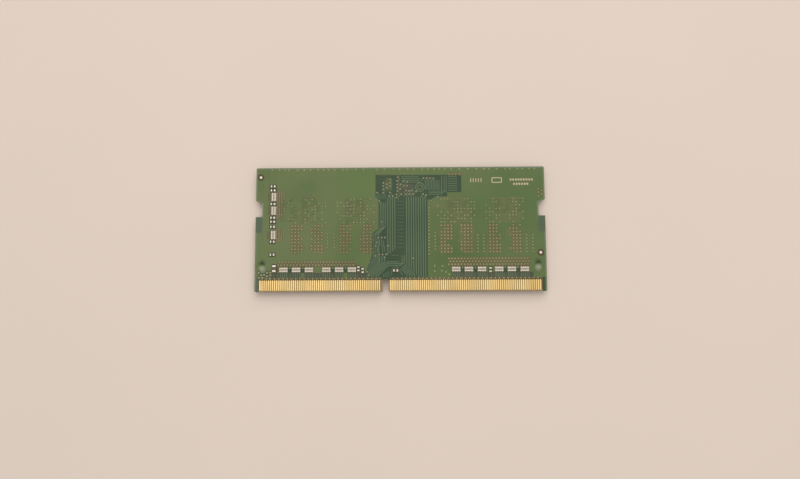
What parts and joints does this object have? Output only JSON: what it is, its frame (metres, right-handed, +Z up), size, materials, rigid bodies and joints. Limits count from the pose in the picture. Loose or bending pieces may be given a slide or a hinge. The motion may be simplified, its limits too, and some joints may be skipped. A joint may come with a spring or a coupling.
{
  "type": "memory module",
  "caption": "Small-outline memory module: green circuit board with gold edge contacts, key notch and side latch notches, memory chips on one face and resistor arrays on the other.",
  "frame": {"origin": "centre of the bounding box's bottom face, on the surface that the label and memory chips rest on", "axes": "+X along the board's long side, +Y from the contact edge to the top edge, +Z up out of the board's back face"},
  "size_m": [0.0696, 0.03, 0.0028],
  "materials": {
    "laminate": "bare glass-epoxy laminate, sawn edge",
    "substrate": "thin green package substrate",
    "gold_plating": "satin hard gold over nickel",
    "copper": "etched copper foil",
    "solder_mask": "semi-gloss green solder mask",
    "printed_ink": "matt cream ink",
    "solder": "bright reflowed solder",
    "tinned_terminal": "matt tin plating",
    "white_ceramic": "fine white alumina",
    "pale_glaze": "pale protective glaze",
    "dark_glaze": "black protective glaze",
    "brown_ceramic": "brown capacitor ceramic",
    "black_moulding": "matt black moulding compound",
    "silicon": "polished silicon",
    "paper_label": "plain white label, no print"
  },
  "bodies": {
    "root": {"array_glaze": "pale_glaze", "array_terminals": "tinned_terminal", "back_chip_glaze": "dark_glaze", "back_chip_resistors": "white_ceramic", "back_chip_terminals": "tinned_terminal", "back_contacts_long_row": "gold_plating", "back_contacts_short_row": "gold_plating", "back_copper_pour": "copper", "back_fiducials": "solder", "back_prepreg": "laminate", "back_printed_marks": "printed_ink", "back_signal_traces": "copper", "back_solder_joints": "solder", "back_solder_mask": "solder_mask", "bottom_resistor_array_01": "white_ceramic", "bottom_resistor_array_02": "white_ceramic", "bottom_resistor_array_03": "white_ceramic", "bottom_resistor_array_04": "white_ceramic", "bottom_resistor_array_05": "white_ceramic", "bottom_resistor_array_06": "white_ceramic", "bottom_resistor_array_07": "white_ceramic", "bottom_resistor_array_08": "white_ceramic", "bottom_resistor_array_09": "white_ceramic", "bottom_resistor_array_10": "white_ceramic", "bottom_resistor_array_11": "white_ceramic", "bottom_resistor_array_12": "white_ceramic", "corner_capacitor": "brown_ceramic", "data_chip_leads": "solder", "data_chip_package": "black_moulding", "dram_die_1": "silicon", "dram_die_2": "silicon", "dram_die_3": "silicon", "dram_die_4": "silicon", "dram_package_1": "black_moulding", "dram_package_2": "black_moulding", "dram_package_3": "black_moulding", "dram_package_4": "black_moulding", "dram_solder_balls_1": "solder", "dram_solder_balls_2": "solder", "dram_solder_balls_3": "solder", "dram_solder_balls_4": "solder", "dram_substrate_1": "substrate", "dram_substrate_2": "substrate", "dram_substrate_3": "substrate", "dram_substrate_4": "substrate", "front_capacitor_terminals": "tinned_terminal", "front_capacitors": "brown_ceramic", "front_contacts_long_row": "gold_plating", "front_contacts_short_row": "gold_plating", "front_copper_pour": "copper", "front_prepreg": "laminate", "front_solder_joints": "solder", "front_solder_mask": "solder_mask", "ground_plane": "copper", "label": "paper_label", "laminate_core": "laminate", "power_plane": "copper", "side_resistor_array_01": "white_ceramic", "side_resistor_array_02": "white_ceramic", "side_resistor_array_03": "white_ceramic"}
  },
  "joints": []
}
